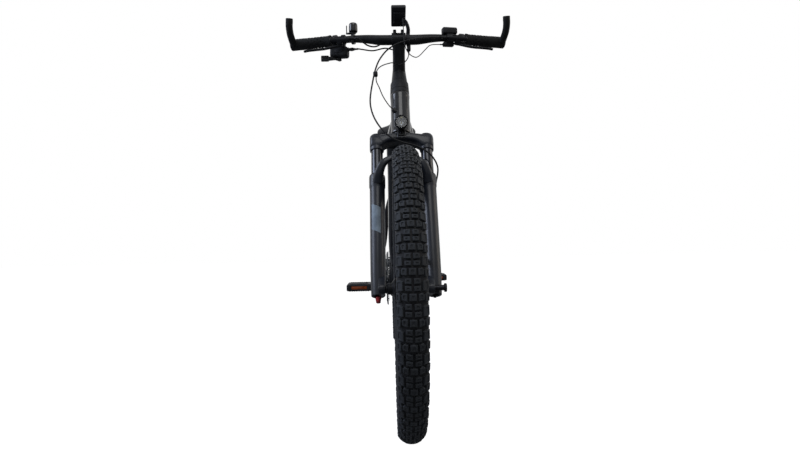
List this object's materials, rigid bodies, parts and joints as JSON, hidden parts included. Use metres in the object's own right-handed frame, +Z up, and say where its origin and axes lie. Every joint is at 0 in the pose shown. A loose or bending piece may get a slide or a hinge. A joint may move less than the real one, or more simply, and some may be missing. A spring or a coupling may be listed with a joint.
{
  "type": "electric mountain bike",
  "caption": "Hardtail electric mountain bike with a suspension fork, a mid motor, a down tube battery, knobbly tyres, disc brakes, bar ends and a display.",
  "frame": {"origin": "on the floor, midway between the wheels' contact points along the bike and across it, taken as the bottom centre of the bounding box", "axes": "-Y is the way the bike rides, +Z up, -X the rider's right, the drive side"},
  "size_m": [0.718, 1.9038, 1.2187],
  "materials": {
    "frame_paint": "gloss black",
    "satin_black": "satin black anodised",
    "fork_paint": "satin charcoal",
    "tyre": "matt",
    "grip_rubber": "matt textured",
    "black_plastic": "fine grain",
    "steel": "brushed",
    "chain_steel": "oiled",
    "motor_grey": "matt grey",
    "saddle_cover": "matt synthetic",
    "screen": "gloss",
    "red": "anodised",
    "hose": "smooth",
    "lamp": "gloss"
  },
  "bodies": {
    "frame": {"head_tube": "frame_paint", "top_tube": "frame_paint", "down_tube": "frame_paint", "seat_tube": "frame_paint", "drive_unit": "motor_grey", "chainstays": "frame_paint", "seatstays": "frame_paint", "seat_clamp": "satin_black", "rear_caliper": "satin_black", "rear_axle": "steel", "derailleur_knuckle": "satin_black", "chain": "chain_steel"},
    "battery": {"battery_pack": "black_plastic"},
    "seat": {"seatpost": "satin_black", "saddle_base": "black_plastic", "saddle_pad": "saddle_cover"},
    "crank": {"crankset": "satin_black"},
    "right_pedal_body": {"right_pedal": "black_plastic"},
    "left_pedal_body": {"left_pedal": "black_plastic"},
    "rear_wheel_body": {"rear_wheel": "satin_black", "rear_tyre": "tyre", "rear_rotor": "steel"},
    "cassette_body": {"cassette": "steel"},
    "derailleur_link_body": {"derailleur_link": "satin_black"},
    "derailleur_foot": {"derailleur_body": "satin_black"},
    "cage": {"derailleur_cage": "satin_black"},
    "upper_pulley_body": {"upper_pulley": "black_plastic"},
    "lower_pulley_body": {"lower_pulley": "black_plastic"},
    "steering": {"fork_crown": "fork_paint", "headset_cover": "black_plastic", "stem": "satin_black", "handlebar": "satin_black", "right_grip": "grip_rubber", "left_grip": "grip_rubber", "right_brake_body": "satin_black", "left_brake_body": "satin_black", "shifter_body": "black_plastic", "remote": "black_plastic", "display_arm": "black_plastic", "display": "screen", "bell": "black_plastic", "headlight": "lamp", "front_brake_hose": "hose", "rear_brake_hose": "hose", "shift_housing": "hose", "remote_cable": "hose", "display_cable": "hose"},
    "right_brake_lever_body": {"right_brake_lever": "satin_black"},
    "left_brake_lever_body": {"left_brake_lever": "satin_black"},
    "shift_lever_body": {"shift_lever": "black_plastic"},
    "release_lever_body": {"release_lever": "black_plastic"},
    "rocker": {"remote_rocker": "grip_rubber"},
    "striker": {"bell_striker": "black_plastic"},
    "lowers": {"fork_lowers": "fork_paint", "front_caliper": "satin_black", "front_axle": "steel"},
    "knob": {"rebound_knob": "red"},
    "front_wheel_body": {"front_wheel": "satin_black", "front_tyre": "tyre", "front_rotor": "steel"}
  },
  "joints": [
    {"name": "steering_turn", "type": "hinge", "parent": "frame", "child": "steering", "pos_m": [0, -0.35005, 0.79688], "axis": [0, 0.3987, 0.9171], "range_deg": [-45, 45], "deforming": ["rear_brake_hose", "shift_housing", "display_cable"]},
    {"name": "fork_slide", "type": "slide", "parent": "steering", "child": "lowers", "axis": [0, 0.3987, 0.9171], "range_m": [0, 0.08], "stiffness_N_per_m": 9000, "springref_m": -0.012, "deforming": ["front_brake_hose"]},
    {"name": "front_wheel_spin", "type": "hinge", "parent": "lowers", "child": "front_wheel_body", "pos_m": [0, -0.585, 0.36688], "axis": [1, 0, 0], "continuous": true},
    {"name": "rebound_turn", "type": "hinge", "parent": "lowers", "child": "knob", "pos_m": [-0.074, -0.56423, 0.34444], "axis": [0, 0.3987, 0.9171], "range_deg": [0, 270]},
    {"name": "rear_wheel_spin", "type": "hinge", "parent": "frame", "child": "rear_wheel_body", "pos_m": [0, 0.585, 0.36688], "axis": [1, 0, 0], "continuous": true},
    {"name": "crank_spin", "type": "hinge", "parent": "frame", "child": "crank", "pos_m": [0, 0.1274, 0.32], "axis": [1, 0, 0], "continuous": true, "deforming": ["chain"]},
    {"name": "right_pedal_spin", "type": "hinge", "parent": "crank", "child": "right_pedal_body", "pos_m": [-0.151, -0.0426, 0.32], "axis": [1, 0, 0], "continuous": true},
    {"name": "left_pedal_spin", "type": "hinge", "parent": "crank", "child": "left_pedal_body", "pos_m": [0.151, 0.2974, 0.32], "axis": [1, 0, 0], "continuous": true},
    {"name": "cassette_spin", "type": "hinge", "parent": "frame", "child": "cassette_body", "pos_m": [0, 0.585, 0.36688], "axis": [1, 0, 0], "continuous": true},
    {"name": "derailleur_swing", "type": "hinge", "parent": "frame", "child": "derailleur_link_body", "pos_m": [-0.09, 0.621, 0.31888], "axis": [0, 0.817, -0.5767], "range_deg": [-10, 24]},
    {"name": "derailleur_level", "type": "hinge", "parent": "derailleur_link_body", "child": "derailleur_foot", "pos_m": [-0.09, 0.597, 0.28488], "axis": [0, 0.817, -0.5767], "range_deg": [-24, 10]},
    {"name": "cage_swing", "type": "hinge", "parent": "derailleur_foot", "child": "cage", "pos_m": [-0.052, 0.591, 0.27508], "axis": [1, 0, 0], "range_deg": [-25, 25], "stiffness_Nm_per_rad": 1},
    {"name": "upper_pulley_spin", "type": "hinge", "parent": "cage", "child": "upper_pulley_body", "pos_m": [-0.052, 0.591, 0.27508], "axis": [1, 0, 0], "continuous": true},
    {"name": "lower_pulley_spin", "type": "hinge", "parent": "cage", "child": "lower_pulley_body", "pos_m": [-0.052, 0.58545, 0.19728], "axis": [1, 0, 0], "continuous": true},
    {"name": "right_lever_pull", "type": "hinge", "parent": "steering", "child": "right_brake_lever_body", "pos_m": [-0.18671, -0.27538, 1.11532], "axis": [0.1433, 0.5554, -0.8192], "range_deg": [0, 14], "stiffness_Nm_per_rad": 0.6, "springref_deg": -5.73},
    {"name": "left_lever_pull", "type": "hinge", "parent": "steering", "child": "left_brake_lever_body", "pos_m": [0.18671, -0.27538, 1.11532], "axis": [0.1433, -0.5554, 0.8192], "range_deg": [0, 14], "stiffness_Nm_per_rad": 0.6, "springref_deg": -5.73},
    {"name": "shift_push", "type": "hinge", "parent": "steering", "child": "shift_lever_body", "pos_m": [-0.19307, -0.24334, 1.08391], "axis": [0, 0, 1], "range_deg": [0, 20], "stiffness_Nm_per_rad": 0.3, "springref_deg": -5.73},
    {"name": "release_push", "type": "hinge", "parent": "steering", "child": "release_lever_body", "pos_m": [-0.19307, -0.24334, 1.08391], "axis": [0, 0, -1], "range_deg": [0, 12], "stiffness_Nm_per_rad": 0.3, "springref_deg": -5.73},
    {"name": "rocker_tilt", "type": "hinge", "parent": "steering", "child": "rocker", "pos_m": [0.16348, -0.2525, 1.16244], "axis": [0.9733, 0.2271, 0.0324], "range_deg": [-4, 4], "stiffness_Nm_per_rad": 0.05},
    {"name": "striker_flick", "type": "hinge", "parent": "steering", "child": "striker", "pos_m": [-0.146, -0.26459, 1.15809], "axis": [0, 0, 1], "range_deg": [0, 20], "stiffness_Nm_per_rad": 0.1, "springref_deg": -2.86},
    {"name": "seatpost_slide", "type": "slide", "parent": "frame", "child": "seat", "axis": [0, 0.2756, 0.9613], "range_m": [-0.12, 0.05]},
    {"name": "battery_slide", "type": "slide", "parent": "frame", "child": "battery", "axis": [0, 0.7804, 0.6252], "range_m": [0, 0.07]}
  ],
  "couplings": [
    {"joint": "cassette_spin", "follows": "crank_spin", "ratio": 1.5},
    {"joint": "upper_pulley_spin", "follows": "crank_spin", "ratio": -3},
    {"joint": "lower_pulley_spin", "follows": "crank_spin", "ratio": 3},
    {"joint": "derailleur_level", "follows": "derailleur_swing", "ratio": -1}
  ]
}
